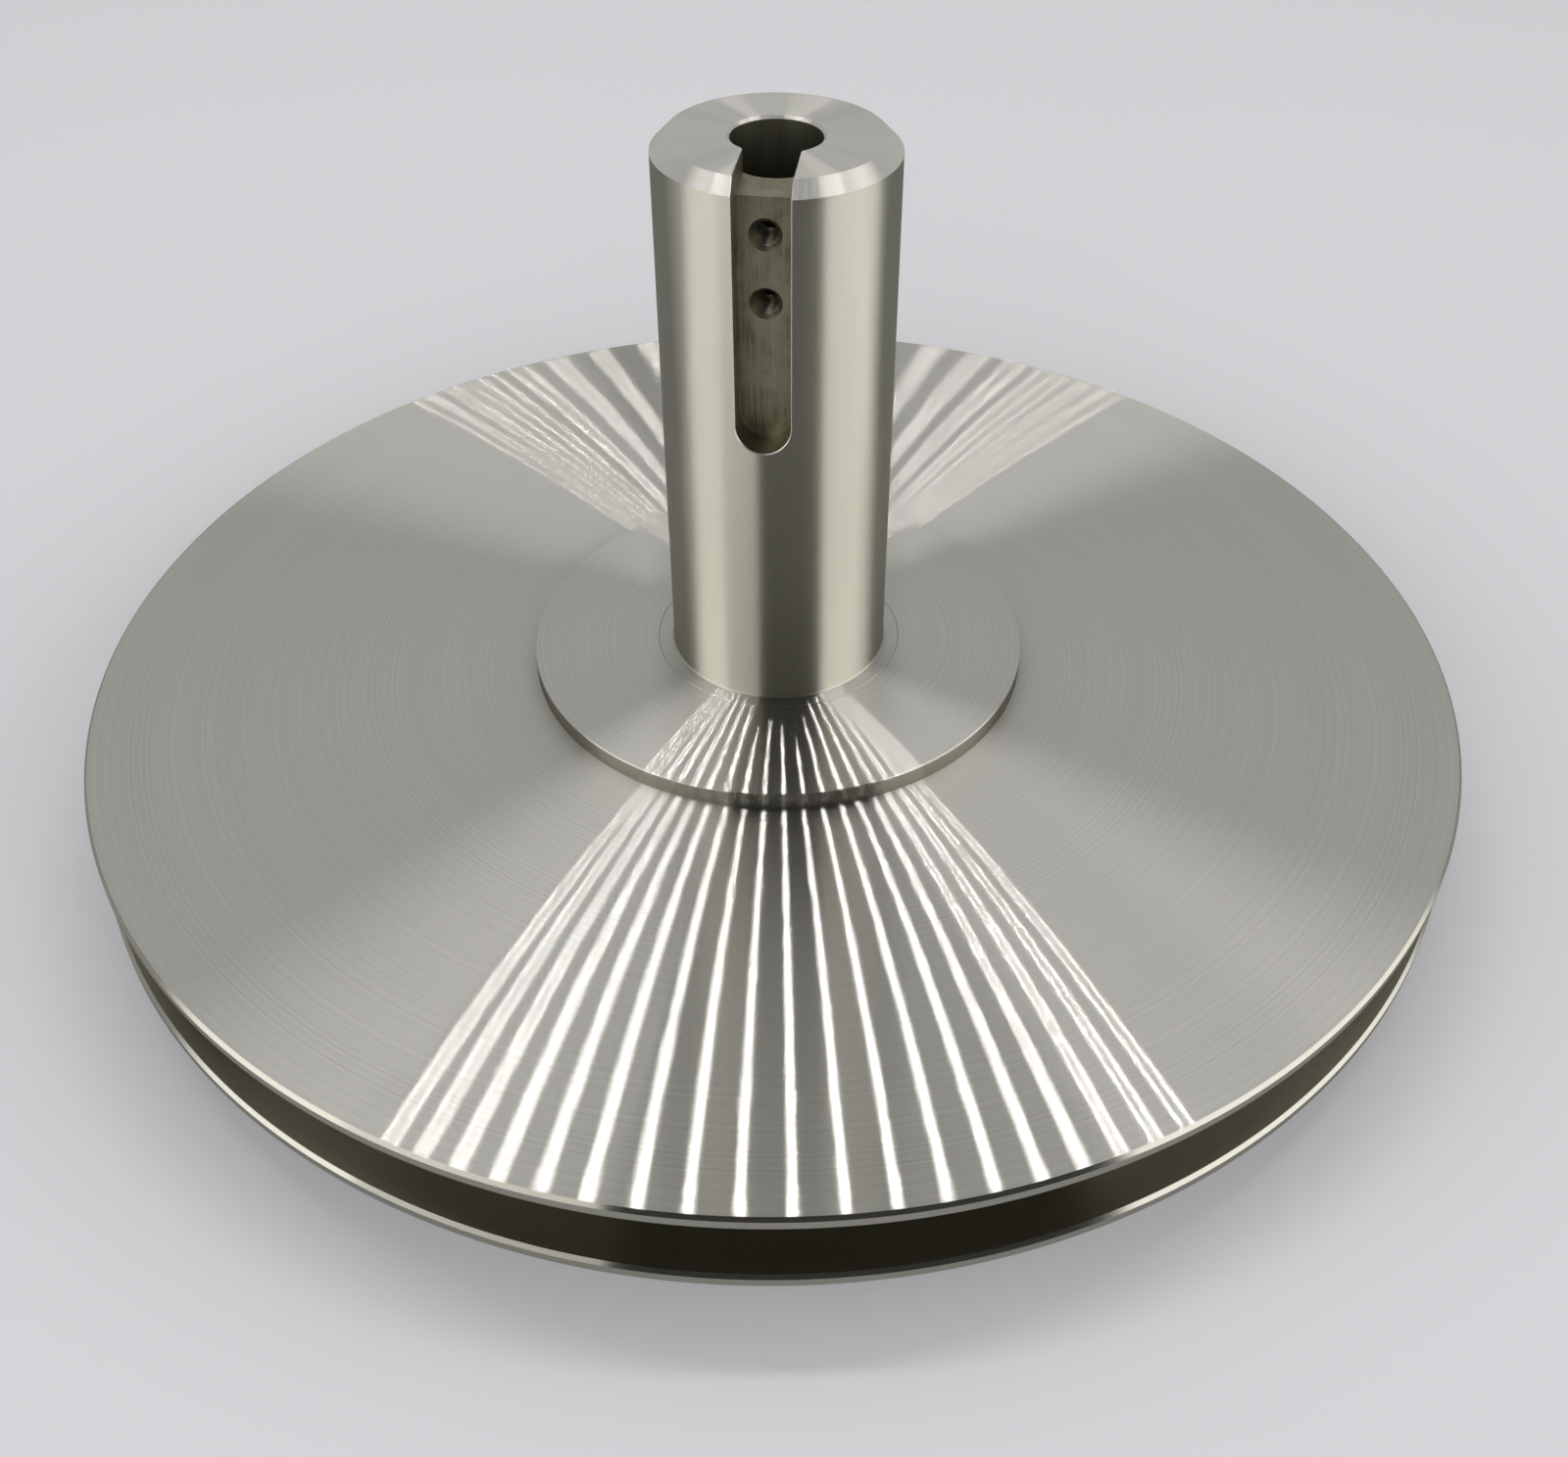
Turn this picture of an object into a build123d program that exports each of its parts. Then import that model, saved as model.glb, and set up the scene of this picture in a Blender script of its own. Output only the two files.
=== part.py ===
"""A flanged band wheel: two cheek plates clamped to a round core, on a hollow keyed shaft.

Millimetres. The shaft stands along +Z, the keyway faces -Y, and the origin is on the axis,
at the bottom face that the wheel stands on.
"""

from build123d import *
import os

os.makedirs("parts", exist_ok=True)

# ---- driving dimensions ------------------------------------------------------------------
SHAFT_D = 35.0
BORE_D = 13.0
SHAFT_ABOVE_FACE = 88.0
KEYWAY_WIDTH = 8.0
KEYWAY_DEPTH = 5.0
KEYWAY_LENGTH = 40.0
WHEEL_D = 223.0
SEAT_D = 200.0
CHEEK_THICKNESS = 2.0
GROOVE_WIDTH = 10.4
BOSS_D = 81.0
BOSS_HEIGHT = 3.0

# ---- shaft details -----------------------------------------------------------------------
SHAFT_CHAMFER = 2.0
BORE_CHAMFER = 0.4
END_SLOT_DEPTH = 3.6
KEY_SCREW_TAP_D = 3.3
KEY_SCREW_MOUTH_D = 4.7
KEY_SCREW_FIRST = 9.0
KEY_SCREW_PITCH = 10.0
SHOULDER_D = 40.0
FOOT_D = 58.0
FOOT_THICKNESS = 5.0

# ---- hub, clamp ring and fasteners -------------------------------------------------------
SPIGOT_D = 66.0
RING_HEIGHT = 10.0
RING_BORE_D = 30.0
SCREW_COUNT = 6
SCREW_PCD = 48.0
SCREW_D = 5.0
SCREW_LENGTH = 16.0
SCREW_HEAD_D = 8.5
SCREW_HEAD_HEIGHT = 5.0
SCREW_SOCKET_FLATS = 4.0
SCREW_SOCKET_DEPTH = 2.5
SCREW_CLEARANCE_D = 5.5
SCREW_RECESS_D = 9.5
SCREW_RECESS_DEPTH = 6.0
SCREW_THREAD_DEPTH = 8.0
PIN_COUNT = 3
PIN_PCD = 73.5
PIN_D = 4.0
PIN_LENGTH = 20.0
PIN_END_CHAMFER = 0.4
PIN_INTO_BOSS = 2.0
PIN_START_ANGLE = 30.0

# ---- fits and edge breaks ----------------------------------------------------------------
LOCATING_GAP = 0.03
END_GAP = 0.2
RIM_CHAMFER = 0.5
EDGE_BREAK = 0.2
RING_CHAMFER = 1.0

# ---- levels, worked out from the bottom up -----------------------------------------------
LOWER_CHEEK_Z = RING_HEIGHT
SEAT_Z = LOWER_CHEEK_Z + CHEEK_THICKNESS
UPPER_CHEEK_Z = SEAT_Z + GROOVE_WIDTH
FACE_Z = UPPER_CHEEK_Z + CHEEK_THICKNESS
BOSS_TOP_Z = FACE_Z + BOSS_HEIGHT
SHAFT_TOP_Z = FACE_Z + SHAFT_ABOVE_FACE
FOOT_TOP_Z = RING_HEIGHT + FOOT_THICKNESS
PIN_BOTTOM_Z = FACE_Z + PIN_INTO_BOSS - PIN_LENGTH
SCREW_HEAD_TOP_Z = SCREW_RECESS_DEPTH
KEYWAY_FLOOR = SHAFT_D / 2 - KEYWAY_DEPTH
PLATE_BORE_D = SPIGOT_D + 2 * LOCATING_GAP


def ring_section(outer_d, inner_d, low, high, top_break, bottom_break):
    """Corners of a turned ring's half section, (radius, height), with its outer edges broken."""
    outer, inner = outer_d / 2, inner_d / 2
    return [
        (inner, low),
        (outer - bottom_break, low),
        (outer, low + bottom_break),
        (outer, high - top_break),
        (outer - top_break, high),
        (inner, high),
    ]


# ---- hollow shaft: its shoulder ends level with the boss's top --------------------------
with BuildPart() as hollow_shaft:
    with BuildSketch(Plane.XZ):
        with BuildLine():
            Polyline(
                (BORE_D / 2, RING_HEIGHT),
                (FOOT_D / 2 - EDGE_BREAK, RING_HEIGHT),
                (FOOT_D / 2, RING_HEIGHT + EDGE_BREAK),
                (FOOT_D / 2, FOOT_TOP_Z - EDGE_BREAK),
                (FOOT_D / 2 - EDGE_BREAK, FOOT_TOP_Z),
                (SHOULDER_D / 2, FOOT_TOP_Z),
                (SHOULDER_D / 2, BOSS_TOP_Z),
                (SHAFT_D / 2, BOSS_TOP_Z),
                (SHAFT_D / 2, SHAFT_TOP_Z - SHAFT_CHAMFER),
                (SHAFT_D / 2 - SHAFT_CHAMFER, SHAFT_TOP_Z),
                (BORE_D / 2 + BORE_CHAMFER, SHAFT_TOP_Z),
                (BORE_D / 2, SHAFT_TOP_Z - BORE_CHAMFER),
                close=True,
            )
        make_face()
    revolve(axis=Axis.Z)
    # the keyway runs out of the shaft's end and stops in a half round
    with BuildSketch(Plane.XZ.offset(KEYWAY_FLOOR)):
        with Locations((0, SHAFT_TOP_Z - KEYWAY_LENGTH / 2)):
            SlotOverall(KEYWAY_LENGTH, KEYWAY_WIDTH, rotation=90)
        with Locations((0, SHAFT_TOP_Z - KEYWAY_WIDTH / 2)):
            Rectangle(KEYWAY_WIDTH, KEYWAY_WIDTH)
    extrude(amount=SHAFT_D, mode=Mode.SUBTRACT)
    # a shallow slot of the same width opens the keyway into the bore at the end face
    with BuildSketch(Plane.XY.offset(SHAFT_TOP_Z - END_SLOT_DEPTH)):
        with Locations((0, -SHAFT_D / 4)):
            Rectangle(KEYWAY_WIDTH, SHAFT_D / 2)
    extrude(amount=END_SLOT_DEPTH, mode=Mode.SUBTRACT)
    # two tapped holes for key screws, drilled from the keyway floor into the bore
    with Locations(Plane(origin=(0, -KEYWAY_FLOOR, 0), x_dir=(1, 0, 0), z_dir=(0, -1, 0))):
        with Locations(
            (0, SHAFT_TOP_Z - KEY_SCREW_FIRST),
            (0, SHAFT_TOP_Z - KEY_SCREW_FIRST - KEY_SCREW_PITCH),
        ):
            CounterSinkHole(
                radius=KEY_SCREW_TAP_D / 2,
                counter_sink_radius=KEY_SCREW_MOUTH_D / 2,
                depth=KEYWAY_FLOOR,
                counter_sink_angle=90,
            )
    # clearance holes for the clamp screws in the foot
    with BuildSketch(Plane.XY.offset(RING_HEIGHT)):
        with PolarLocations(SCREW_PCD / 2, SCREW_COUNT):
            Circle(SCREW_CLEARANCE_D / 2)
    extrude(amount=FOOT_THICKNESS, mode=Mode.SUBTRACT)

# ---- hub: the raised boss and the spigot that carries the plates ------------------------
with BuildPart() as hub:
    with BuildSketch(Plane.XZ):
        with BuildLine():
            Polyline(
                (SHOULDER_D / 2 + LOCATING_GAP, FOOT_TOP_Z),
                (FOOT_D / 2 + LOCATING_GAP, FOOT_TOP_Z),
                (FOOT_D / 2 + LOCATING_GAP, RING_HEIGHT + END_GAP),
                (SPIGOT_D / 2, RING_HEIGHT + END_GAP),
                (SPIGOT_D / 2, FACE_Z),
                (BOSS_D / 2, FACE_Z),
                (BOSS_D / 2, BOSS_TOP_Z - EDGE_BREAK),
                (BOSS_D / 2 - EDGE_BREAK, BOSS_TOP_Z),
                (SHOULDER_D / 2 + LOCATING_GAP, BOSS_TOP_Z),
                close=True,
            )
        make_face()
    revolve(axis=Axis.Z)
    # blind tapped holes for the clamp screws
    with BuildSketch(Plane.XY.offset(FOOT_TOP_Z)):
        with PolarLocations(SCREW_PCD / 2, SCREW_COUNT):
            Circle(SCREW_D / 2)
    extrude(amount=SCREW_THREAD_DEPTH, mode=Mode.SUBTRACT)
    # blind holes for the dowel pins in the boss
    with BuildSketch(Plane.XY.offset(FACE_Z)):
        with PolarLocations(PIN_PCD / 2, PIN_COUNT, start_angle=PIN_START_ANGLE):
            Circle(PIN_D / 2)
    extrude(amount=PIN_INTO_BOSS, mode=Mode.SUBTRACT)

# ---- upper cheek plate -------------------------------------------------------------------
with BuildPart() as upper_cheek:
    with BuildSketch(Plane.XZ):
        with BuildLine():
            Polyline(
                *ring_section(WHEEL_D, PLATE_BORE_D, UPPER_CHEEK_Z, FACE_Z, RIM_CHAMFER, EDGE_BREAK),
                close=True,
            )
        make_face()
    revolve(axis=Axis.Z)
    with BuildSketch(Plane.XY.offset(UPPER_CHEEK_Z)):
        with PolarLocations(PIN_PCD / 2, PIN_COUNT, start_angle=PIN_START_ANGLE):
            Circle(PIN_D / 2)
    extrude(amount=CHEEK_THICKNESS, mode=Mode.SUBTRACT)

# ---- core: the round seat that the band runs on ------------------------------------------
with BuildPart() as band_core:
    with BuildSketch(Plane.XZ):
        with BuildLine():
            Polyline(
                *ring_section(SEAT_D, PLATE_BORE_D, SEAT_Z, UPPER_CHEEK_Z, EDGE_BREAK, EDGE_BREAK),
                close=True,
            )
        make_face()
    revolve(axis=Axis.Z)
    with BuildSketch(Plane.XY.offset(SEAT_Z)):
        with PolarLocations(PIN_PCD / 2, PIN_COUNT, start_angle=PIN_START_ANGLE):
            Circle(PIN_D / 2)
    extrude(amount=GROOVE_WIDTH, mode=Mode.SUBTRACT)

# ---- lower cheek plate -------------------------------------------------------------------
with BuildPart() as lower_cheek:
    with BuildSketch(Plane.XZ):
        with BuildLine():
            Polyline(
                *ring_section(WHEEL_D, PLATE_BORE_D, LOWER_CHEEK_Z, SEAT_Z, RIM_CHAMFER, EDGE_BREAK),
                close=True,
            )
        make_face()
    revolve(axis=Axis.Z)
    with BuildSketch(Plane.XY.offset(LOWER_CHEEK_Z)):
        with PolarLocations(PIN_PCD / 2, PIN_COUNT, start_angle=PIN_START_ANGLE):
            Circle(PIN_D / 2)
    extrude(amount=CHEEK_THICKNESS, mode=Mode.SUBTRACT)

# ---- clamp ring under the wheel: it holds the plates and is the foot ---------------------
with BuildPart() as clamp_ring:
    with BuildSketch(Plane.XZ):
        with BuildLine():
            Polyline(
                *ring_section(BOSS_D, RING_BORE_D, 0, RING_HEIGHT, EDGE_BREAK, RING_CHAMFER),
                close=True,
            )
        make_face()
    revolve(axis=Axis.Z)
    with BuildSketch(Plane.XY):
        with PolarLocations(SCREW_PCD / 2, SCREW_COUNT):
            Circle(SCREW_CLEARANCE_D / 2)
    extrude(amount=RING_HEIGHT, mode=Mode.SUBTRACT)
    with BuildSketch(Plane.XY):
        with PolarLocations(SCREW_PCD / 2, SCREW_COUNT):
            Circle(SCREW_RECESS_D / 2)
    extrude(amount=SCREW_RECESS_DEPTH, mode=Mode.SUBTRACT)
    with BuildSketch(Plane.XY.offset(PIN_BOTTOM_Z)):
        with PolarLocations(PIN_PCD / 2, PIN_COUNT, start_angle=PIN_START_ANGLE):
            Circle(PIN_D / 2)
    extrude(amount=RING_HEIGHT - PIN_BOTTOM_Z, mode=Mode.SUBTRACT)

# ---- clamp screws: socket heads in the ring, threads in the hub --------------------------
with BuildPart() as clamp_screws:
    with BuildSketch(Plane.XY.offset(SCREW_HEAD_TOP_Z)):
        with PolarLocations(SCREW_PCD / 2, SCREW_COUNT):
            Circle(SCREW_D / 2)
    extrude(amount=SCREW_LENGTH)
    with BuildSketch(Plane.XY.offset(SCREW_HEAD_TOP_Z)):
        with PolarLocations(SCREW_PCD / 2, SCREW_COUNT):
            Circle(SCREW_HEAD_D / 2)
    extrude(amount=-SCREW_HEAD_HEIGHT)
    chamfer(clamp_screws.edges().group_by(Axis.Z)[0], length=EDGE_BREAK)
    with BuildSketch(Plane.XY.offset(SCREW_HEAD_TOP_Z - SCREW_HEAD_HEIGHT)):
        with PolarLocations(SCREW_PCD / 2, SCREW_COUNT):
            RegularPolygon(radius=SCREW_SOCKET_FLATS / 2, side_count=6, major_radius=False)
    extrude(amount=SCREW_SOCKET_DEPTH, mode=Mode.SUBTRACT)

# ---- dowel pins: they turn the plates with the hub ---------------------------------------
with BuildPart() as dowel_pins:
    with BuildSketch(Plane.XY.offset(PIN_BOTTOM_Z)):
        with PolarLocations(PIN_PCD / 2, PIN_COUNT, start_angle=PIN_START_ANGLE):
            Circle(PIN_D / 2)
    extrude(amount=PIN_LENGTH)
    pin_ends = dowel_pins.edges().filter_by(GeomType.CIRCLE)
    chamfer(pin_ends, length=PIN_END_CHAMFER)

# ---- write one file per piece ------------------------------------------------------------
PIECES = {
    "hollow_shaft": hollow_shaft,
    "hub": hub,
    "upper_cheek": upper_cheek,
    "band_core": band_core,
    "lower_cheek": lower_cheek,
    "clamp_ring": clamp_ring,
    "clamp_screws": clamp_screws,
    "dowel_pins": dowel_pins,
}
for name, piece in PIECES.items():
    piece.part.label = name
    export_step(piece.part, f"parts/{name}.step")
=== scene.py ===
"""Looks of a flanged band wheel: two turned cheeks round a core, on a hollow keyed shaft.

Metres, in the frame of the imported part. Meshes are drawn in millimetres and scaled when built.
"""

import math

import bmesh
import bpy
from bpy.props import FloatProperty, IntProperty, PointerProperty, StringProperty
from mathutils import Matrix, Vector


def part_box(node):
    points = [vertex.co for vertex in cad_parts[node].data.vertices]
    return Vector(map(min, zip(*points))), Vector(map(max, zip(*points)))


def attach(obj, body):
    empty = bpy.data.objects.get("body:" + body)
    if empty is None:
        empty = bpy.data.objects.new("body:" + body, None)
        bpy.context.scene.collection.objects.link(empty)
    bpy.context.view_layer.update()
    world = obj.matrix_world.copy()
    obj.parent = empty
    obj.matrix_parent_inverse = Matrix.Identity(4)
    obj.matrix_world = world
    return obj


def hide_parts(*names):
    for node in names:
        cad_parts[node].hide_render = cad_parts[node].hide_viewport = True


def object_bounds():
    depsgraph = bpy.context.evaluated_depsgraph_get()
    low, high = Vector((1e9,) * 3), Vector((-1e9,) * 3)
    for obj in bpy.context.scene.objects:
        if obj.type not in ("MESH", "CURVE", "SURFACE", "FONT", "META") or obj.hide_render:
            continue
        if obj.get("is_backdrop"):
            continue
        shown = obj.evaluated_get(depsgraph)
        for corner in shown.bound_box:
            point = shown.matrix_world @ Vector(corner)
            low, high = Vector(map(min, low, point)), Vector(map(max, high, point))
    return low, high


bl_info = {
    "name": "Flanged band wheel",
    "version": (1, 0, 0),
    "blender": (4, 5, 0),
    "location": "View3D > Sidebar > Band Wheel",
    "description": "Builds the turned steel pieces of a flanged band wheel and its studio",
    "category": "Add Mesh",
}

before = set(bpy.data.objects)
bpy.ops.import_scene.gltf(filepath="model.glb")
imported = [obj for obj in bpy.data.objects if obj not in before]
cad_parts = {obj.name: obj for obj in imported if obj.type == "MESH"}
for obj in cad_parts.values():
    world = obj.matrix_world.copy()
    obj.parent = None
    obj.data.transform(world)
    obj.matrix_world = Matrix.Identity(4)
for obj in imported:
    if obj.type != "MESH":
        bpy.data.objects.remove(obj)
START_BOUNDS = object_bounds()

MM = 0.001
FULL_TURN = 2 * math.pi
WELD_DISTANCE = 1e-7
SHARP_DEGREES = 30

# fine edges that nobody would change, in millimetres
SHOULDER_EDGE = 0.05
SHOULDER_BORE_EDGE = 0.06
BOSS_FOOT_FILLET = 0.1
FOOT_BORE_CHAMFER = 0.3
# half of a 45 degree chamfer's angle: how far a dressed edge shifts where it turns the corner
HALF_CHAMFER_ANGLE = 22.5
KEY_SCREWS = 2
# material slots of the shaft, and of the cheeks, core and boss
TURNED, FACED, BORED, MILLED, SHOULDER = range(5)
FACE, GROOVE, EDGE = range(3)
BOSS_FACE, BOSS_EDGE = range(2)
# points along the keyway's half round, and along the small fillets and roundings
KEYWAY_STEPS = 32
FILLET_STEPS = 6
# a tapped hole's thread: how finely it is drawn, how flat its crests and roots are, how far it overruns
THREAD_COLUMNS = 48
THREAD_ROWS_PER_PITCH = 8
THREAD_FLANK = 1.3
THREAD_CREST_FLAT = 0.15
THREAD_START_OVERRUN = 0.5
THREAD_END_OVERRUN = 1.0

# turned finishes: spread of light across the tool's rings, blur along them, spacing and depth of the
# drawn rings in millimetres, and share of plain soft reflection
TURNED_FINISHES = {
    "face_turned_steel": (0.42, 0.0008, 0.4, 0.003, 0.04),
    "faced_end_steel": (0.35, 0.012, 0.2, 0.003, 0.25),
    "fine_turned_painted_shade_steel": (0.60, 0.045, 0.25, 0.001, 0.01),
    "fine_turned_edge_steel_painted_shade": (0.10, 0.01, 0.3, 0.001, 0.03),
    "groove_turned_steel_painted_shade": (0.22, 0.01, 0.3, 0.003, 0.05),
    "turned_ring_steel": (0.3, 0.03, 0.4, 0.003, 0.4),
}
# broad bands of feed marks: how many times wider than the fine rings, and their share of the tone
BAND_WIDENING = 18
BAND_SHARE = 0.12
# tool chatter, which turns the rings a little
CHATTER_SIZE = 0.6 * MM
CHATTER_TURN = 0.03
# painted shade on the shaft: where its steel's colour starts and stops to darken, as a share of a fully
# glancing view, and how far
PAINTED_SHADE_RANGE = (0.38, 0.62)
PAINTED_GLANCING_SHADE = 0.5

# the room, as brightness and as degrees up or round: bright low walls at both sides, a taller dim wall
# behind that is brighter high up, and hardly any ceiling
SIDE_WALL = 2.8
SIDE_TOP = (36, 52)
BACK_WALL = 0.62
BACK_LIFT = 2.1
BACK_LIFT_RANGE = (52, 64)
BACK_TOP = (66, 84)
BACK_AZIMUTH = -165
BACK_HALF_WIDTH = 83
BACK_SOFTNESS = 5
CEILING = 0.09

# two rows of small lamps over the wheel, in metres above its face
LAMP_ROWS = (0.1339, 0.1010)
LAMPS_IN_ROW = 19
LAMP_PITCH = 0.0495
LAMP_OFFSET = 0.0136
LAMP_HEIGHT = 0.882
LAMP_ROWS_TURN = 8.5
# the soft lamp in front
FRONT_PLACE = (0.0, -0.8, 0.22)
FRONT_TILT = 75
FRONT_SIZE = 0.5
# the dark board behind the camera: its distance and its two parts' left, right and top, in millimetres
BOARD_DISTANCE = 270
BOARD_PARTS = ((-60, 310, 650), (-260, -60, 110))
BOARD_COLOUR = "262420"
# the floor, a hair below the wheel's foot so that the two don't flicker
FLOOR_REACH = 3000
FLOOR_LEVEL = -0.02
# the camera, in metres from the axis and above the wheel's face
CAMERA_AZIMUTH = 7.2
CAMERA_AWAY = 0.22633
CAMERA_UP = 0.17584
CAMERA_SHIFT = (-0.0219, -0.0164)


def top_of(node):
    """Height of a node's highest point, in millimetres."""
    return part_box(node)[1].z / MM


def bottom_of(node):
    """Height of a node's lowest point, in millimetres."""
    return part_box(node)[0].z / MM


def radius_of(node):
    """Radius of a round node that stays inside its box on every side, in millimetres."""
    low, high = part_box(node)
    return min(-low.x, -low.y, high.x, high.y) / MM


# ---- sizes and colours that a user would change -------------------------------------------
class BandWheelSizes(bpy.types.PropertyGroup):
    """Sizes that the frame's boxes don't give, in millimetres."""

    shaft_radius: FloatProperty(
        name="Shaft radius", description="Radius of the journal", default=17.5, min=5
    )
    shoulder_radius: FloatProperty(
        name="Shoulder radius", description="Radius of the shaft's seat in the hub", default=20.0, min=6
    )
    foot_thickness: FloatProperty(
        name="Foot thickness", description="Thickness of the shaft's foot flange", default=5.0, min=1
    )
    shaft_chamfer: FloatProperty(
        name="End chamfer", description="Chamfer at the shaft's end", default=2.0, min=0
    )
    bore_radius: FloatProperty(name="Bore radius", description="Radius of the bore", default=6.5, min=1)
    bore_chamfer: FloatProperty(
        name="Bore chamfer", description="Chamfer at the bore's mouth", default=0.4, min=0
    )
    keyway_width: FloatProperty(
        name="Keyway width", description="Width of the keyway", default=8.0, min=1
    )
    keyway_depth: FloatProperty(
        name="Keyway depth", description="Depth of the keyway", default=5.0, min=1
    )
    keyway_length: FloatProperty(
        name="Keyway length", description="Length of the keyway from the shaft's end", default=40.0, min=8
    )
    end_slot_depth: FloatProperty(
        name="End slot depth", description="Depth of the slot from keyway to bore", default=3.6, min=0.5
    )
    key_screw_first: FloatProperty(
        name="First hole", description="First tapped hole below the shaft's end", default=9.0, min=1
    )
    key_screw_pitch: FloatProperty(
        name="Hole pitch", description="Between the tapped holes", default=10.0, min=1
    )
    thread_radius: FloatProperty(
        name="Thread radius", description="M4 major radius", default=2.0, min=0.5
    )
    thread_crest_radius: FloatProperty(
        name="Crest radius", description="M4 tap drill radius", default=1.65, min=0.4
    )
    thread_pitch: FloatProperty(
        name="Thread pitch", description="M4 coarse pitch", default=0.7, min=0.1
    )
    hole_mouth_radius: FloatProperty(
        name="Hole mouth", description="Radius of a hole's countersunk mouth", default=2.35, min=0.5
    )
    seat_gap: FloatProperty(
        name="Seat gap", description="Radial gap of the located fits", default=0.03, min=0
    )
    edge_break: FloatProperty(
        name="Edge break", description="Small rounding of turned edges", default=0.2, min=0
    )
    keyway_burr: FloatProperty(
        name="Keyway edge", description="Width of the keyway's dressed edge", default=0.12
    )
    rim_chamfer: FloatProperty(
        name="Rim chamfer", description="Chamfer of each cheek's upper edge", default=0.5
    )
    foot_fillet: FloatProperty(
        name="Foot fillet", description="Fillet at the shaft's and boss's foot", default=0.3
    )
    spigot_radius: FloatProperty(
        name="Spigot radius", description="Radius of the hub's spigot", default=33.0
    )
    wheel_segments: IntProperty(
        name="Wheel segments", description="Facets round the wheel", default=720, min=64
    )
    shaft_segments: IntProperty(
        name="Shaft segments", description="Facets round the shaft", default=256, min=48
    )


class BandWheelColours(bpy.types.PropertyGroup):
    """Finish colours, as sRGB hex values."""

    steel: StringProperty(
        name="Turned steel", description="Mirror colour of the turned steel", default="CECCC5"
    )
    steel_shade: StringProperty(
        name="Steel in the valleys", description="Darker tool marks", default="B6B4AD"
    )
    shaft: StringProperty(
        name="Shaft steel", description="Mirror colour of the shaft", default="C2C0B1"
    )
    milled: StringProperty(
        name="Milled keyway", description="Colour of the milled floor", default="8F8C78"
    )
    stain: StringProperty(
        name="Coolant stain", description="Brown film left in the keyway", default="6A614A"
    )
    # painted shade: drawn darker than the face steel, for the shade between the cheeks; it colours the
    # pieces' undersides, the core's top and the lower cheek's face
    groove: StringProperty(
        name="Groove steel", description="Steel inside the band groove", default="959280"
    )
    # painted shade: drawn darker than the face steel, for the shade on the rims' chamfers and lips and
    # the boss's side
    edge: StringProperty(
        name="Rim edges", description="Steel of the cheeks' and boss's edges", default="9A988E"
    )
    # painted shade: drawn darker than the turned steel, for the shade inside the bore and the tapped
    # holes
    bore: StringProperty(name="Drilled bore", description="Colour of the bore's wall", default="6A685E")
    hidden: StringProperty(
        name="Ring and screws", description="Steel under the wheel", default="C4C2BA"
    )
    paper: StringProperty(name="Floor", description="Colour of the pale floor", default="B6B6B9")


class BandWheelStudio(bpy.types.PropertyGroup):
    """Lamps, surroundings and camera."""

    lamp_power: FloatProperty(
        name="Lamp power", description="Power of each small lamp, in watts", default=0.075
    )
    lamp_size: FloatProperty(
        name="Lamp size",
        description="Side of each small lamp",
        default=0.0035,
        unit="LENGTH",
        subtype="DISTANCE",
    )
    sky_strength: FloatProperty(
        name="Surroundings", description="Strength of the soft surroundings", default=1.0
    )
    front_power: FloatProperty(
        name="Front power", description="Power of the soft front lamp, in watts", default=2.4
    )
    lens: FloatProperty(name="Lens", description="Focal length on a 36 mm sensor", default=38.81)
    camera_pitch: FloatProperty(
        name="Camera pitch", description="Downward tilt", default=math.radians(39.81), subtype="ANGLE"
    )
    camera_yaw: FloatProperty(
        name="Camera yaw", description="Turn towards -X", default=math.radians(5.468), subtype="ANGLE"
    )
    camera_roll: FloatProperty(
        name="Camera roll", description="Roll", default=math.radians(0.87), subtype="ANGLE"
    )


# ---- mesh helpers -------------------------------------------------------------------------
def add_grid(bm, rows, slot=0, closed=False):
    """Quads between rows of points in millimetres; closed joins the end of each row to its start."""
    grid = [[bm.verts.new(Vector(point) * MM) for point in row] for row in rows]
    for near, far in zip(grid, grid[1:]):
        for i in range(len(near) - (0 if closed else 1)):
            j = (i + 1) % len(near)
            face = bm.faces.new((near[i], near[j], far[j], far[i]))
            face.material_index = slot


def add_flat(bm, points, slot=0):
    """One flat face through points in millimetres."""
    face = bm.faces.new([bm.verts.new(Vector(point) * MM) for point in points])
    face.material_index = slot


def spaced(first, last, count):
    """count + 1 evenly spaced values, both ends included."""
    return [first + (last - first) * i / count for i in range(count + 1)]


def arc(centre, radius, first_degrees, last_degrees, steps=FILLET_STEPS):
    """Points of an arc in the half section, as (radius, height)."""
    angles = [math.radians(a) for a in spaced(first_degrees, last_degrees, steps)]
    return [(centre[0] + radius * math.cos(a), centre[1] + radius * math.sin(a)) for a in angles]


def circle(radius, height, segments):
    """Points round the Z axis."""
    turns = [FULL_TURN * i / segments for i in range(segments)]
    return [(radius * math.cos(a), radius * math.sin(a), height) for a in turns]


def finish_mesh(bm, name):
    """Welds a bmesh, turns its faces outwards and makes it a smooth shaded mesh with crisp edges."""
    bmesh.ops.remove_doubles(bm, verts=bm.verts, dist=WELD_DISTANCE)
    bmesh.ops.recalc_face_normals(bm, faces=bm.faces)
    mesh = bpy.data.meshes.new(name)
    bm.to_mesh(mesh)
    bm.free()
    mesh.shade_smooth()
    mesh.set_sharp_from_angle(angle=math.radians(SHARP_DEGREES))
    return mesh


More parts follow.
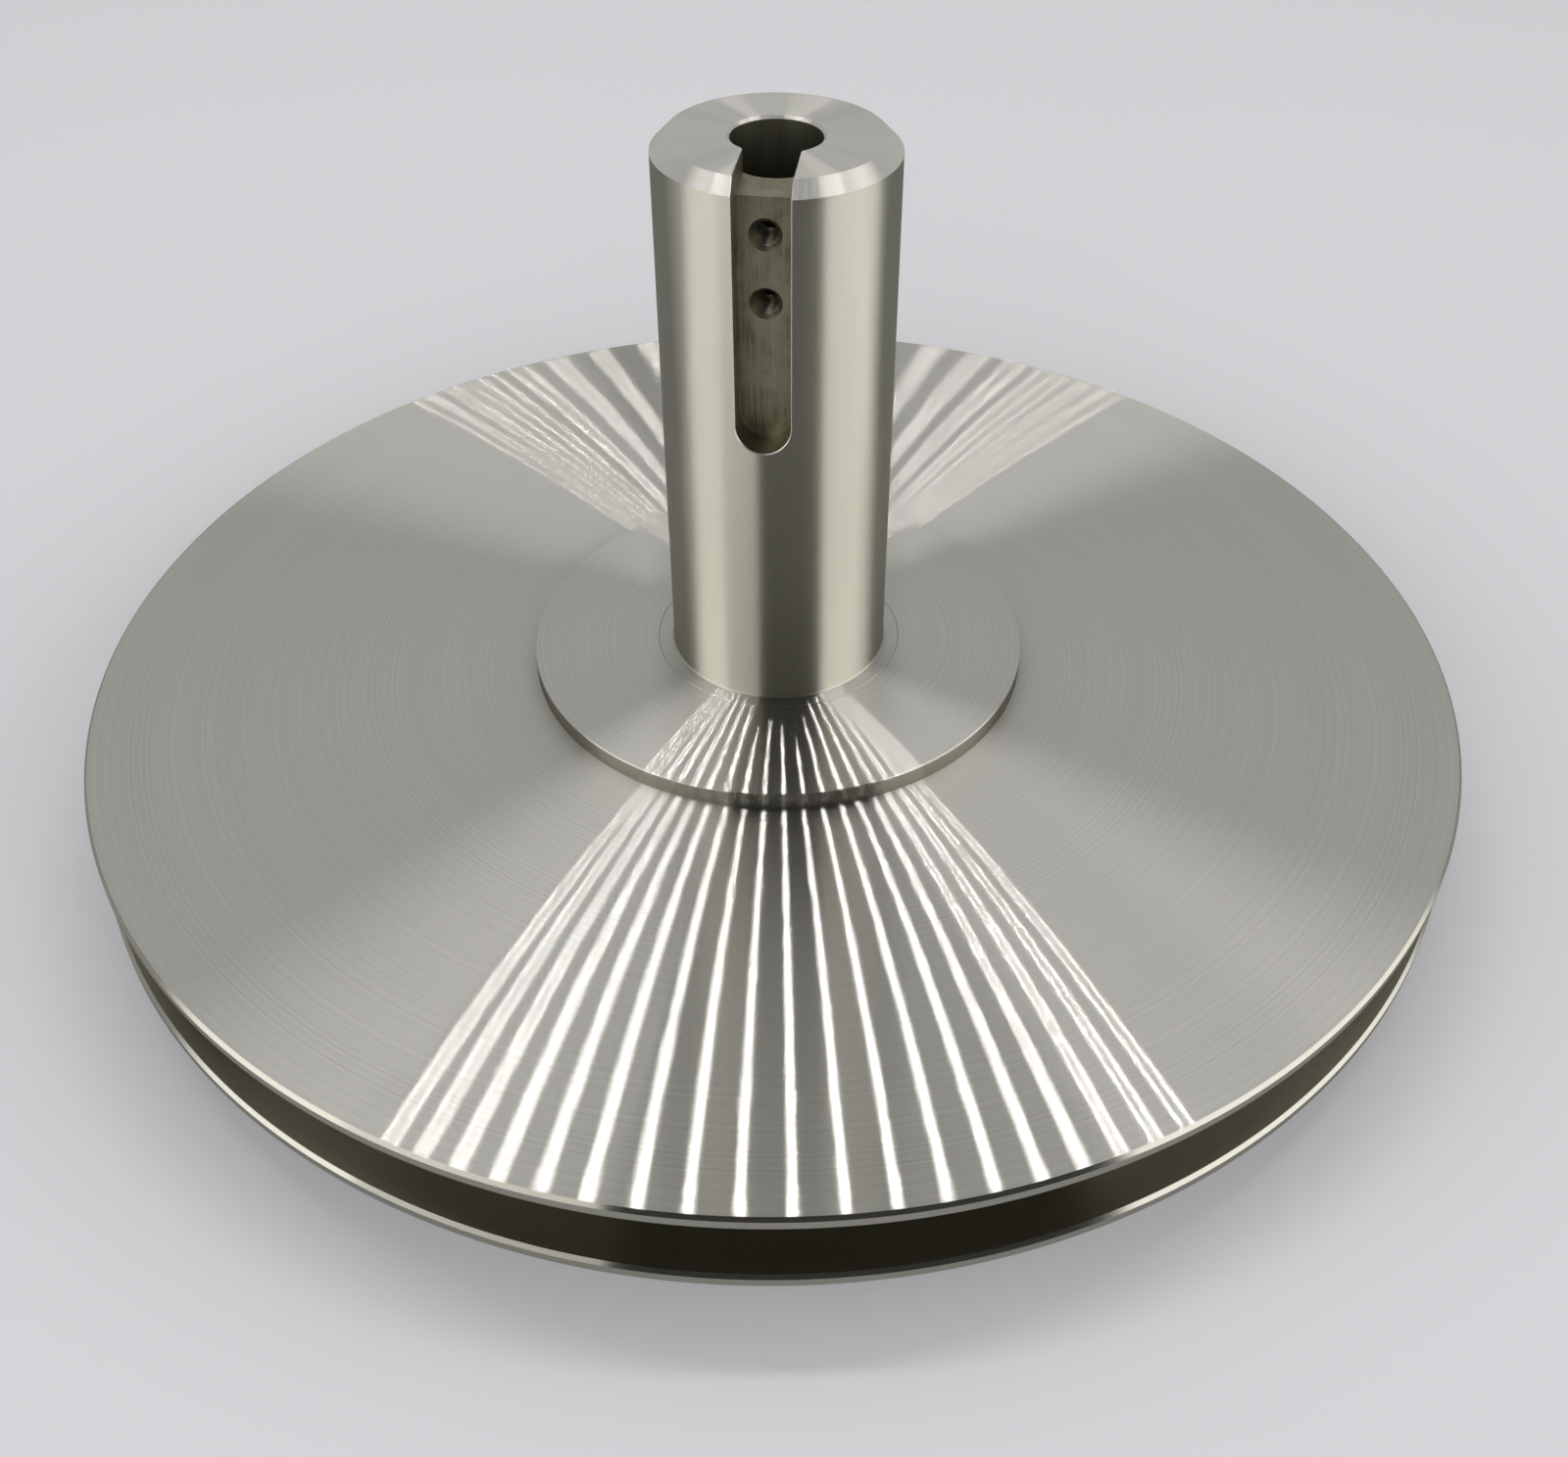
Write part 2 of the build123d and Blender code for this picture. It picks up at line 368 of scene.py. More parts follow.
def cut(piece, cutter_bm):
    """Takes a cutter's volume out of a piece for good."""
    cutter = bpy.data.objects.new("cutter", finish_mesh(cutter_bm, "cutter"))
    for material in piece.data.materials:
        cutter.data.materials.append(material)
    bpy.context.scene.collection.objects.link(cutter)
    modifier = piece.modifiers.new("holes", "BOOLEAN")
    modifier.operation = "DIFFERENCE"
    modifier.solver = "EXACT"
    modifier.object = cutter
    graph = bpy.context.evaluated_depsgraph_get()
    cut_mesh = bpy.data.meshes.new_from_object(piece.evaluated_get(graph))
    piece.modifiers.clear()
    old_mesh = piece.data
    piece.data = cut_mesh
    bpy.data.meshes.remove(old_mesh)
    bpy.data.objects.remove(cutter)
    cut_mesh.name = piece.name
    cut_mesh.shade_smooth()
    cut_mesh.set_sharp_from_angle(angle=math.radians(SHARP_DEGREES))


def add_piece(name, mesh, materials, node):
    """Links a finished mesh as the piece that stands for a CAD node."""
    piece = bpy.data.objects.new(name, mesh)
    for material in materials:
        mesh.materials.append(material)
    bpy.context.scene.collection.objects.link(piece)
    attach(piece, "root")
    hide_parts(node)
    return piece


# ---- material helpers ---------------------------------------------------------------------
def linear(hex_colour):
    """Linear RGBA from an sRGB hex value."""
    parts = [int(hex_colour[i : i + 2], 16) / 255 for i in (0, 2, 4)]
    curved = [c / 12.92 if c <= 0.04045 else ((c + 0.055) / 1.055) ** 2.4 for c in parts]
    return (*curved, 1.0)


def add_node(material, kind, links=None, **settings):
    """Adds a node with its settings, and joins other nodes' sockets to its inputs."""
    node = material.node_tree.nodes.new(kind)
    for key, value in settings.items():
        if key.startswith("in_"):
            place = key[3:]
            node.inputs[int(place) if place.isdigit() else place.replace("_", " ")].default_value = value
        else:
            setattr(node, key, value)
    for place, source in (links or {}).items():
        material.node_tree.links.new(source, node.inputs[place])
    return node


def blank_material(name):
    """A new material with no nodes."""
    material = bpy.data.materials.new(name)
    material.use_nodes = True
    material.node_tree.nodes.clear()
    return material


def radius_socket(material):
    """Distance from the wheel's axis, in metres, as a socket."""
    place = add_node(material, "ShaderNodeTexCoord")
    flat = add_node(
        material,
        "ShaderNodeVectorMath",
        {0: place.outputs["Object"]},
        operation="MULTIPLY",
        in_1=(1, 1, 0),
    )
    length = add_node(material, "ShaderNodeVectorMath", {0: flat.outputs[0]}, operation="LENGTH")
    return length.outputs["Value"]


def mix_colours(material, share, first, second):
    """A colour between two, as a socket."""
    settings = {"data_type": "RGBA", "in_6": first, "in_7": second}
    return add_node(material, "ShaderNodeMix", {0: share}, **settings).outputs[2]


def bump(material, height, depth, strength=1.0):
    """Marks of a depth in millimetres, as a normal socket."""
    settings = {"in_Distance": depth * MM, "in_Strength": strength}
    return add_node(material, "ShaderNodeBump", {"Height": height}, **settings).outputs[0]


def ring_noise(material, radius, spacing, detail, roughness):
    """Noise that only changes with the distance from the axis, so it draws rings."""
    return add_node(
        material,
        "ShaderNodeTexNoise",
        {"W": radius},
        noise_dimensions="1D",
        in_Scale=1 / spacing,
        in_Detail=detail,
        in_Roughness=roughness,
    ).outputs["Fac"]


def chattered_tangent(material, tangent):
    """The direction of the rings, turned a little here and there as tool chatter does: the streaks
    break up into glitter."""
    place = add_node(material, "ShaderNodeTexCoord")
    chatter = add_node(
        material,
        "ShaderNodeTexNoise",
        {"Vector": place.outputs["Object"]},
        in_Scale=1 / CHATTER_SIZE,
        in_Detail=2.0,
    )
    centred = add_node(
        material,
        "ShaderNodeVectorMath",
        {0: chatter.outputs["Color"]},
        operation="SUBTRACT",
        in_1=(0.5, 0.5, 0.5),
    )
    return add_node(
        material,
        "ShaderNodeVectorMath",
        {0: centred.outputs[0], 2: tangent},
        operation="MULTIPLY_ADD",
        in_1=(CHATTER_TURN, CHATTER_TURN, 0),
    ).outputs[0]


def painted_glancing_shade(material, colour, glancing):
    """The colour, darker at a glancing view: painted shade, set by the angle of view."""
    facing = add_node(material, "ShaderNodeLayerWeight", in_Blend=0.5)
    dim = add_node(
        material,
        "ShaderNodeMapRange",
        {"Value": facing.outputs["Facing"]},
        interpolation_type="SMOOTHSTEP",
        in_1=PAINTED_SHADE_RANGE[0],
        in_2=PAINTED_SHADE_RANGE[1],
        in_3=1.0,
        in_4=glancing,
    )
    return add_node(
        material,
        "ShaderNodeMix",
        {6: colour, 7: dim.outputs[0]},
        data_type="RGBA",
        blend_type="MULTIPLY",
        in_0=1.0,
    ).outputs[2]


def turned_steel(name, bright, shade, glancing=1.0):
    """Stainless steel turned on a lathe: the tool's fine rings spread each lamp's reflection across
    them and hardly along them, so every small lamp draws a long narrow streak towards the axis. The
    rings are drawn a few times coarser than the real feed, which is too fine to show."""
    if name in bpy.data.materials:
        return bpy.data.materials[name]
    spread, blur, spacing, depth, soft_share = TURNED_FINISHES[name]
    material = blank_material(name)
    radius = radius_socket(material)
    marks = ring_noise(material, radius, spacing * MM, detail=3.0, roughness=0.7)
    bands = ring_noise(material, radius, spacing * MM * BAND_WIDENING, detail=2.0, roughness=0.5)
    tone = add_node(material, "ShaderNodeMix", {2: marks, 3: bands}, data_type="FLOAT", in_0=BAND_SHARE)
    colour = mix_colours(material, tone.outputs[0], shade, bright)
    # painted shade: the colour darkens at a glancing view
    if glancing < 1.0:
        colour = painted_glancing_shade(material, colour, glancing)
    ridge = bump(material, marks, depth)
    tangent = add_node(material, "ShaderNodeTangent", direction_type="RADIAL", axis="Z").outputs[0]
    streak = add_node(
        material,
        "ShaderNodeBsdfAnisotropic",
        {"Color": colour, "Normal": ridge, "Tangent": chattered_tangent(material, tangent)},
        distribution="GGX",
        in_Roughness=math.sqrt(math.sqrt(blur * spread)),
        in_Anisotropy=1 - math.sqrt(blur / spread),
    )
    body = add_node(
        material,
        "ShaderNodeBsdfPrincipled",
        {"Base Color": colour, "Normal": ridge, "Tangent": tangent},
        in_Metallic=1.0,
        in_Roughness=0.55,
        in_Anisotropic=0.8,
    )
    both = {1: streak.outputs[0], 2: body.outputs[0]}
    mix = add_node(material, "ShaderNodeMixShader", both, in_0=soft_share)
    add_node(material, "ShaderNodeOutputMaterial", {"Surface": mix.outputs[0]})
    return material


def finish_steel(material, colour, height, depth, roughness):
    """Ends a steel's nodes: a metal with one colour and one height that gives its marks."""
    body = add_node(
        material,
        "ShaderNodeBsdfPrincipled",
        {"Base Color": colour, "Normal": bump(material, height, depth)},
        in_Metallic=1.0,
        in_Roughness=roughness,
    )
    add_node(material, "ShaderNodeOutputMaterial", {"Surface": body.outputs[0]})


def long_noise(material, place, width, length, detail, roughness):
    """Noise drawn out along the shaft, with its width and length in millimetres."""
    along = add_node(
        material,
        "ShaderNodeMapping",
        {"Vector": place.outputs["Object"]},
        in_Scale=(1 / (width * MM), 1 / (width * MM), 1 / (length * MM)),
    )
    settings = {"in_Scale": 1.0, "in_Detail": detail, "in_Roughness": roughness}
    noise = add_node(material, "ShaderNodeTexNoise", {"Vector": along.outputs[0]}, **settings)
    return noise.outputs["Fac"]


def milled_steel(name, bright, stain):
    """End-milled steel left with a coolant stain: scratches 0.3 mm apart and about 12 mm long down the
    keyway, and brown film in patches about 5 mm across."""
    material = blank_material(name)
    place = add_node(material, "ShaderNodeTexCoord")
    scratches = long_noise(material, place, width=0.3, length=12, detail=4.0, roughness=0.65)
    patches = add_node(
        material,
        "ShaderNodeTexNoise",
        {"Vector": place.outputs["Object"]},
        in_Scale=1 / (5 * MM),
        in_Detail=4.0,
        in_Roughness=0.6,
    )
    spots = patches.outputs["Fac"]
    film = add_node(material, "ShaderNodeMapRange", {"Value": spots}, in_1=0.42, in_2=0.62)
    lines = add_node(material, "ShaderNodeMapRange", {"Value": scratches}, in_1=0.35, in_2=0.65)
    both = {0: film.outputs[0], 1: lines.outputs[0]}
    share = add_node(material, "ShaderNodeMath", both, operation="MULTIPLY")
    colour = mix_colours(material, share.outputs[0], bright, stain)
    finish_steel(material, colour, scratches, depth=0.03, roughness=0.42)
    return material


def drilled_steel(name, bright, shade):
    """Drilled steel: long light and dark strips down the bore, dull from the drill's margins."""
    material = blank_material(name)
    place = add_node(material, "ShaderNodeTexCoord")
    strips = long_noise(material, place, width=1.2, length=40, detail=3.0, roughness=0.6)
    colour = mix_colours(material, strips, shade, bright)
    finish_steel(material, colour, strips, depth=0.02, roughness=0.38)
    return material


def pale_paper(name, colour):
    """Matt paper: no gloss, a faint fibre mottle about 2 mm across."""
    material = blank_material(name)
    place = add_node(material, "ShaderNodeTexCoord")
    fibres = add_node(
        material,
        "ShaderNodeTexNoise",
        {"Vector": place.outputs["Object"]},
        in_Scale=1 / (2 * MM),
        in_Detail=3.0,
    )
    body = add_node(
        material,
        "ShaderNodeBsdfPrincipled",
        {"Normal": bump(material, fibres.outputs["Fac"], depth=0.02, strength=0.5)},
        in_Base_Color=colour,
        in_Roughness=0.95,
        in_Specular_IOR_Level=0.1,
    )
    add_node(material, "ShaderNodeOutputMaterial", {"Surface": body.outputs[0]})
    return material


def room_light(world):
    """Brightness of the room round the wheel, as a colour socket."""
    place = add_node(world, "ShaderNodeTexCoord")
    level = add_node(
        world,
        "ShaderNodeVectorMath",
        {0: place.outputs["Generated"]},
        operation="MULTIPLY",
        in_1=(1, 1, 0),
    )
    heading = add_node(world, "ShaderNodeVectorMath", {0: level.outputs[0]}, operation="NORMALIZE")
    up = add_node(world, "ShaderNodeSeparateXYZ", {0: place.outputs["Generated"]}).outputs["Z"]

    def ramp(angles, low_value, high_value):
        """Brightness that changes smoothly between two heights, in degrees up."""
        first, last = (math.sin(math.radians(angle)) for angle in angles)
        return add_node(
            world,
            "ShaderNodeMapRange",
            {"Value": up},
            interpolation_type="SMOOTHSTEP",
            in_1=first,
            in_2=last,
            in_3=low_value,
            in_4=high_value,
        ).outputs[0]

    azimuth = math.radians(BACK_AZIMUTH)
    facing = add_node(
        world,
        "ShaderNodeVectorMath",
        {0: heading.outputs[0]},
        operation="DOT_PRODUCT",
        in_1=(math.sin(azimuth), -math.cos(azimuth), 0),
    )
    behind = add_node(
        world,
        "ShaderNodeMapRange",
        {"Value": facing.outputs["Value"]},
        interpolation_type="SMOOTHSTEP",
        in_1=math.cos(math.radians(BACK_HALF_WIDTH + BACK_SOFTNESS)),
        in_2=math.cos(math.radians(BACK_HALF_WIDTH - BACK_SOFTNESS)),
    )
    both = {0: ramp(BACK_TOP, BACK_WALL, CEILING), 1: ramp(BACK_LIFT_RANGE, 1.0, BACK_LIFT)}
    back = add_node(world, "ShaderNodeMath", both, operation="MULTIPLY").outputs[0]
    sides = ramp(SIDE_TOP, SIDE_WALL, CEILING)
    whole = add_node(world, "ShaderNodeMix", {0: behind.outputs[0], 2: sides, 3: back}, data_type="FLOAT")
    return add_node(world, "ShaderNodeCombineColor", {i: whole.outputs[0] for i in range(3)}).outputs[0]


# ---- pieces -------------------------------------------------------------------------------
def keyed_ring(radius, height, half_gap, segments):
    """Points round the shaft at one radius, from one side of the keyway round the back to the other."""
    start = math.asin(half_gap / radius)
    angles = spaced(start, FULL_TURN - start, segments)
    return [(radius * math.sin(a), -radius * math.cos(a), height) for a in angles]


def on_cylinder(radius, x, z):
    """The point of a cylinder's keyway side at one x and height."""
    return (x, -math.sqrt(radius * radius - x * x), z)


class WHEEL_OT_shaft(bpy.types.Operator):
    """Build the hollow shaft with its keyway, end slot, bore and tapped holes"""

    bl_idname = "wheel.shaft"
    bl_label = "Shaft"

    def execute(self, context):
        s = context.scene.band_wheel_sizes
        c = context.scene.band_wheel_colours
        around = s.shaft_segments
        across = KEYWAY_STEPS
        outer, bore = s.shaft_radius, s.bore_radius
        top = top_of("hollow_shaft")
        foot_low = bottom_of("hollow_shaft")
        foot_radius = radius_of("hollow_shaft")
        boss_top = top_of("hub")
        foot_top = foot_low + s.foot_thickness
        half = s.keyway_width / 2
        burr = s.keyway_burr
        arc_z = top - s.keyway_length + half
        floor_y = -(outer - s.keyway_depth)
        ledge_z = top - s.end_slot_depth
        chamfer_z = top - s.shaft_chamfer
        end_radius = outer - s.shaft_chamfer
        mouth = bore + s.bore_chamfer
        edge = half + burr
        bm = bmesh.new()
        sweep = spaced(0, math.pi, across)

        # journal, from the shoulder up to the keyway's half round, then the part beside the keyway
        beside = keyed_ring(outer, arc_z, edge, around)
        below = [on_cylinder(outer, -edge * math.cos(t), arc_z - edge * math.sin(t)) for t in sweep]
        round_row = beside + below[1:-1]
        angles = [math.atan2(x, -y) for x, y, _ in round_row]

        def level(radius, height):
            return [(radius * math.sin(a), -radius * math.cos(a), height) for a in angles]

        fillet = arc((outer + s.foot_fillet, boss_top + s.foot_fillet), s.foot_fillet, 180, 270)
        hidden = [
            (s.shoulder_radius - SHOULDER_EDGE, boss_top),
            (s.shoulder_radius, boss_top - SHOULDER_EDGE),
            (s.shoulder_radius, foot_top),
            (foot_radius, foot_top),
            (foot_radius, foot_low),
            (bore + FOOT_BORE_CHAMFER, foot_low),
        ]
        rows = [round_row, level(outer, arc_z - s.keyway_length / 2)]
        rows += [level(r, z) for r, z in fillet]
        add_grid(bm, rows, TURNED, closed=True)
        add_grid(bm, rows[-1:] + [level(r, z) for r, z in hidden], SHOULDER, closed=True)
        inner_ring = keyed_ring(bore, ledge_z, half, around)
        inner_start = math.asin(half / bore)
        inner_gap = [inner_start * (1 - 2 * i / across) for i in range(across + 1)]
        inner_front = [(-bore * math.sin(a), -bore * math.cos(a), ledge_z) for a in inner_gap]
        inner_row = inner_ring + inner_front[1:-1]
        low_bore = [(x, y, foot_low + FOOT_BORE_CHAMFER) for x, y, _ in inner_row]
        add_grid(bm, [inner_row, low_bore], BORED, closed=True)
        add_grid(bm, [low_bore, level(bore + FOOT_BORE_CHAMFER, foot_low)], BORED, closed=True)
        upper = [
            (outer, arc_z, edge),
            (outer, chamfer_z, edge),
            (end_radius, top, edge),
            (mouth, top, edge),
            (bore, top - s.bore_chamfer, half),
            (bore, ledge_z, half),
        ]
        rings = [keyed_ring(r, z, gap, around) for r, z, gap in upper]
        add_grid(bm, rings[:2], TURNED)
        add_grid(bm, rings[1:3], FACED)
        add_grid(bm, rings[2:4], FACED)
        add_grid(bm, rings[3:5], FACED)
        add_grid(bm, rings[4:], BORED)

        # dressed edges, walls, floor and ledge of the keyway
        bevel_shift = burr * math.tan(math.radians(HALF_CHAMFER_ANGLE))
        for side in (1, -1):
            outside = [on_cylinder(r, side * gap, z) for r, z, gap in upper[:5]]
            inside = [
                on_cylinder(outer - burr, side * half, arc_z),
                on_cylinder(outer - burr, side * half, chamfer_z - bevel_shift),
                on_cylinder(end_radius - bevel_shift, side * half, top - burr),
                on_cylinder(mouth + bevel_shift, side * half, top - burr),
                on_cylinder(bore, side * half, top - s.bore_chamfer),
            ]
            add_grid(bm, [outside, inside], FACED)
            wall = inside + [
                on_cylinder(bore, side * half, ledge_z),
                (side * half, floor_y, ledge_z),
                (side * half, floor_y, arc_z),
            ]
            add_flat(bm, wall, MILLED)
        half_round = [(half * math.cos(t), arc_z - half * math.sin(t)) for t in sweep]
        rim = [on_cylinder(outer, edge * math.cos(t), arc_z - edge * math.sin(t)) for t in sweep]
        lip = [on_cylinder(outer - burr, x, z) for x, z in half_round]
        root = [(x, floor_y, z) for x, z in half_round]
        add_grid(bm, [rim, lip], FACED)
        add_grid(bm, [lip, root], MILLED)
        add_flat(bm, root + [(-half, floor_y, ledge_z), (half, floor_y, ledge_z)], MILLED)
        add_flat(bm, inner_front + [(half, floor_y, ledge_z), (-half, floor_y, ledge_z)], MILLED)

        mesh = finish_mesh(bm, "shaft")
        shaft_colour = linear(c.shaft)
        materials = [
            # the shaft's steel: its colour carries painted shade, darker at a glancing view
            turned_steel("fine_turned_painted_shade_steel", shaft_colour, shaft_colour, glancing=PAINTED_GLANCING_SHADE),
            turned_steel("faced_end_steel", linear(c.steel), linear(c.steel_shade)),
            # the bore and tapped holes: the strips are the drill's marks, the dark colours are painted
            # shade inside them
            drilled_steel("drilled_bore_steel_painted_shade", linear(c.milled), linear(c.bore)),
            milled_steel("milled_keyway_steel", linear(c.milled), linear(c.stain)),
            turned_steel("face_turned_steel", linear(c.steel), linear(c.steel_shade)),
        ]
        piece = add_piece("shaft", mesh, materials, "hollow_shaft")
        cutter = bmesh.new()
        for number in range(KEY_SCREWS):
            hole_z = top - s.key_screw_first - number * s.key_screw_pitch
            add_thread(cutter, s, hole_z, floor_y)
        cut(piece, cutter)
        return {"FINISHED"}


def add_thread(bm, s, hole_z, floor_y):
    """The volume of one tapped hole: a helical thread with a countersunk mouth, open at both ends."""
    start_y = floor_y - THREAD_START_OVERRUN
    end_y = -(s.bore_radius - THREAD_END_OVERRUN)
    count = round((end_y - start_y) / s.thread_pitch * THREAD_ROWS_PER_PITCH)
    rows = []
    for y in spaced(start_y, end_y, count):
        row = []
        for i in range(THREAD_COLUMNS):
            turn = i / THREAD_COLUMNS
            phase = (y / s.thread_pitch + turn) % 1.0
            ridge = abs(2 * phase - 1)
            depth = min(1.0, max(0.0, ridge * THREAD_FLANK - THREAD_CREST_FLAT))
            radius = s.thread_crest_radius + (s.thread_radius - s.thread_crest_radius) * depth
            radius = max(radius, s.hole_mouth_radius - (y - floor_y))
            angle = FULL_TURN * turn
            row.append((radius * math.cos(angle), y, hole_z + radius * math.sin(angle)))
        rows.append(row)
    add_grid(bm, rows, BORED, closed=True)
    add_flat(bm, rows[0], BORED)
    add_flat(bm, rows[-1], BORED)


class WHEEL_OT_hub(bpy.types.Operator):
    """Build the hub: the raised boss and its spigot"""

    bl_idname = "wheel.hub"
    bl_label = "Hub"

    def execute(self, context):
        s = context.scene.band_wheel_sizes
        c = context.scene.band_wheel_colours
        top, low = top_of("hub"), bottom_of("hub")
        face = top_of("upper_cheek")
        boss = radius_of("hub")
        foot_top = bottom_of("hollow_shaft") + s.foot_thickness
        inner = s.shoulder_radius + s.seat_gap
        foot = radius_of("hollow_shaft") + s.seat_gap
        e = s.edge_break
        fillet = BOSS_FOOT_FILLET
        section = [
            (inner, foot_top),
            (foot, foot_top),
            (foot, low),
            (s.spigot_radius, low),
            (s.spigot_radius, face),
            *arc((boss - fillet, face + fillet), fillet, 270, 360, FILLET_STEPS // 2),
        ]
        # the boss's wall ends where the rounding of its top edge starts
        wall_top = len(section)
        section += [
            *arc((boss - e, top - e), e, 0, 90),
            (inner + SHOULDER_BORE_EDGE, top),
            (inner, top - SHOULDER_BORE_EDGE),
        ]
        rows = [circle(r, z, s.wheel_segments) for r, z in section]
        bm = bmesh.new()
        add_grid(bm, rows[: wall_top + 1], BOSS_EDGE, closed=True)
        add_grid(bm, rows[wall_top:] + rows[:1], BOSS_FACE, closed=True)
        # the boss's side in a darker steel than its top: painted shade
        edge = turned_steel("fine_turned_edge_steel_painted_shade", linear(c.edge), linear(c.edge))
        face_steel = turned_steel("face_turned_steel", linear(c.steel), linear(c.steel_shade))
        add_piece("boss", finish_mesh(bm, "boss"), [face_steel, edge], "hub")
        return {"FINISHED"}


class WHEEL_OT_cheeks(bpy.types.Operator):
    """Build the two cheeks and the core between them"""

    bl_idname = "wheel.cheeks"
    bl_label = "Cheeks and core"

    def execute(self, context):
        s = context.scene.band_wheel_sizes
        c = context.scene.band_wheel_colours
        inner = s.spigot_radius + s.seat_gap
        face_steel = turned_steel("face_turned_steel", linear(c.steel), linear(c.steel_shade))
        # painted shade between the cheeks: the groove's steel is darker than the face steel
        painted_shade_groove_steel = turned_steel("groove_turned_steel_painted_shade", linear(c.groove), linear(c.groove))
        # the rims' chamfers, lips and bottom breaks in a darker steel than the faces: painted shade
        painted_shade_edge_steel = turned_steel("fine_turned_edge_steel_painted_shade", linear(c.edge), linear(c.edge))
        low_break = s.edge_break
        pieces = (
            ("upper_disc", "upper_cheek", "turned_cheek", s.rim_chamfer, face_steel),
            ("band_seat_core", "band_core", "band_seat", s.edge_break, painted_shade_groove_steel),
            ("lower_disc", "lower_cheek", "turned_lower_cheek", s.rim_chamfer, painted_shade_groove_steel),
        )
        for name, node, slot_name, top_break, steel in pieces:
            low, top, outer = bottom_of(node), top_of(node), radius_of(node)
            section = [
                (inner, low),
                (outer - low_break, low),
                (outer, low + low_break),
                (outer, top - top_break),
                (outer - top_break, top),
                (inner, top),
            ]
            rows = [circle(r, z, s.wheel_segments) for r, z in section]
            bm = bmesh.new()
            add_grid(bm, [rows[-1], *rows[:2]], GROOVE, closed=True)
            add_grid(bm, rows[1:5], EDGE, closed=True)
            add_grid(bm, rows[4:], FACE, closed=True)
            add_piece(name, finish_mesh(bm, name), [steel, painted_shade_groove_steel, painted_shade_edge_steel], node)
        return {"FINISHED"}


class WHEEL_OT_clamping(bpy.types.Operator):
    """Give the clamp ring, its screws and the dowel pins their steels"""

    bl_idname = "wheel.clamping"
    bl_label = "Ring, screws and pins"

    def execute(self, context):
        c = context.scene.band_wheel_colours
        ring = turned_steel("turned_ring_steel", linear(c.hidden), linear(c.steel_shade))
        screws = drilled_steel("plain_screw_steel", linear(c.hidden), linear(c.steel_shade))
        pins = drilled_steel("ground_pin_steel", linear(c.steel), linear(c.hidden))
        for node, steel in (("clamp_ring", ring), ("clamp_screws", screws), ("dowel_pins", pins)):
            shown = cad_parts[node]
            if not shown.material_slots:
                shown.data.materials.append(steel)
            for material_slot in shown.material_slots:
                material_slot.material = steel
        return {"FINISHED"}


def add_stage(scene, name, data, place=None, hidden_from=()):
    """Links an object that is part of the stage, and hides it from the named kinds of ray."""
    thing = bpy.data.objects.new(name, data)
    if place is not None:
        thing.matrix_world = place
    for kind in hidden_from:
        setattr(thing, "visible_" + kind, False)
    scene.collection.objects.link(thing)
    thing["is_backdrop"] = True
    return thing


def square_lamp(name, size, power):
    """A square area lamp."""
    lamp = bpy.data.lights.new(name, "AREA")
    lamp.shape = "SQUARE"
    lamp.size = size
    lamp.energy = power
    return lamp


def add_floor(scene, colour):
    """The pale floor."""
    reach = FLOOR_REACH
    rows = [[(x, y, FLOOR_LEVEL) for x in (-reach, reach)] for y in (-reach, reach)]
    bm = bmesh.new()
    add_grid(bm, rows)
    mesh = finish_mesh(bm, "floor")
    mesh.materials.append(pale_paper("matt_paper", colour))
    add_stage(scene, "floor", mesh)


def add_lamps(scene, studio, face):
    """Two rows of small lamps over the wheel, and a low soft lamp in front that lifts the shadow under
    the rim."""
    turned = Matrix.Rotation(math.radians(LAMP_ROWS_TURN), 4, "Z")
    for row, row_y in enumerate(LAMP_ROWS):
        for k in range(LAMPS_IN_ROW):
            name = f"lamp_{row}_{k}"
            from_middle = (k - LAMPS_IN_ROW // 2) * LAMP_PITCH
            spot = Vector((LAMP_OFFSET + from_middle, row_y, LAMP_HEIGHT + face))
            lamp = square_lamp(name, studio.lamp_size, studio.lamp_power)
            add_stage(scene, name, lamp, Matrix.Translation(turned @ spot))
    soft = square_lamp("soft_front", FRONT_SIZE, studio.front_power)
    place = Matrix.Translation(FRONT_PLACE) @ Matrix.Rotation(math.radians(FRONT_TILT), 4, "X")
    add_stage(scene, "soft_front", soft, place, hidden_from=["glossy"])


def add_dark_board(scene):
    """A dark board behind the camera, seen only in the steel, as a person standing there would be."""
    bm = bmesh.new()
    for left, right, top in BOARD_PARTS:
        add_grid(bm, [[(x, -BOARD_DISTANCE, z) for x in (left, right)] for z in (1, top)])
    mesh = finish_mesh(bm, "dark_board")
    mesh.materials.append(pale_paper("black_felt", linear(BOARD_COLOUR)))
    add_stage(scene, "dark_board", mesh, hidden_from=["camera", "diffuse", "shadow"])


def add_room(scene, strength):
    """The soft surroundings."""
    world = bpy.data.worlds.new("soft_room")
    scene.world = world
    world.use_nodes = True
    world.node_tree.nodes.clear()
    sky = add_node(world, "ShaderNodeBackground", {"Color": room_light(world)}, in_Strength=strength)
    add_node(world, "ShaderNodeOutputWorld", {"Surface": sky.outputs[0]})


def add_camera(scene, studio, face):
    """The camera, close to the wheel and looking down on it."""
    lens = bpy.data.cameras.new("camera")
    lens.sensor_width = 36.0
    lens.lens = studio.lens
    lens.shift_x, lens.shift_y = CAMERA_SHIFT
    lens.clip_start = 0.01
    lens.clip_end = 50.0
    azimuth = math.radians(CAMERA_AZIMUTH)
    spot = Vector((CAMERA_AWAY * math.sin(azimuth), -CAMERA_AWAY * math.cos(azimuth), face + CAMERA_UP))
    place = (
        Matrix.Translation(spot)
        @ Matrix.Rotation(studio.camera_yaw, 4, "Z")
        @ Matrix.Rotation(math.pi / 2 - studio.camera_pitch, 4, "X")
        @ Matrix.Rotation(studio.camera_roll, 4, "Z")
    )
    scene.camera = add_stage(scene, "camera", lens, place)


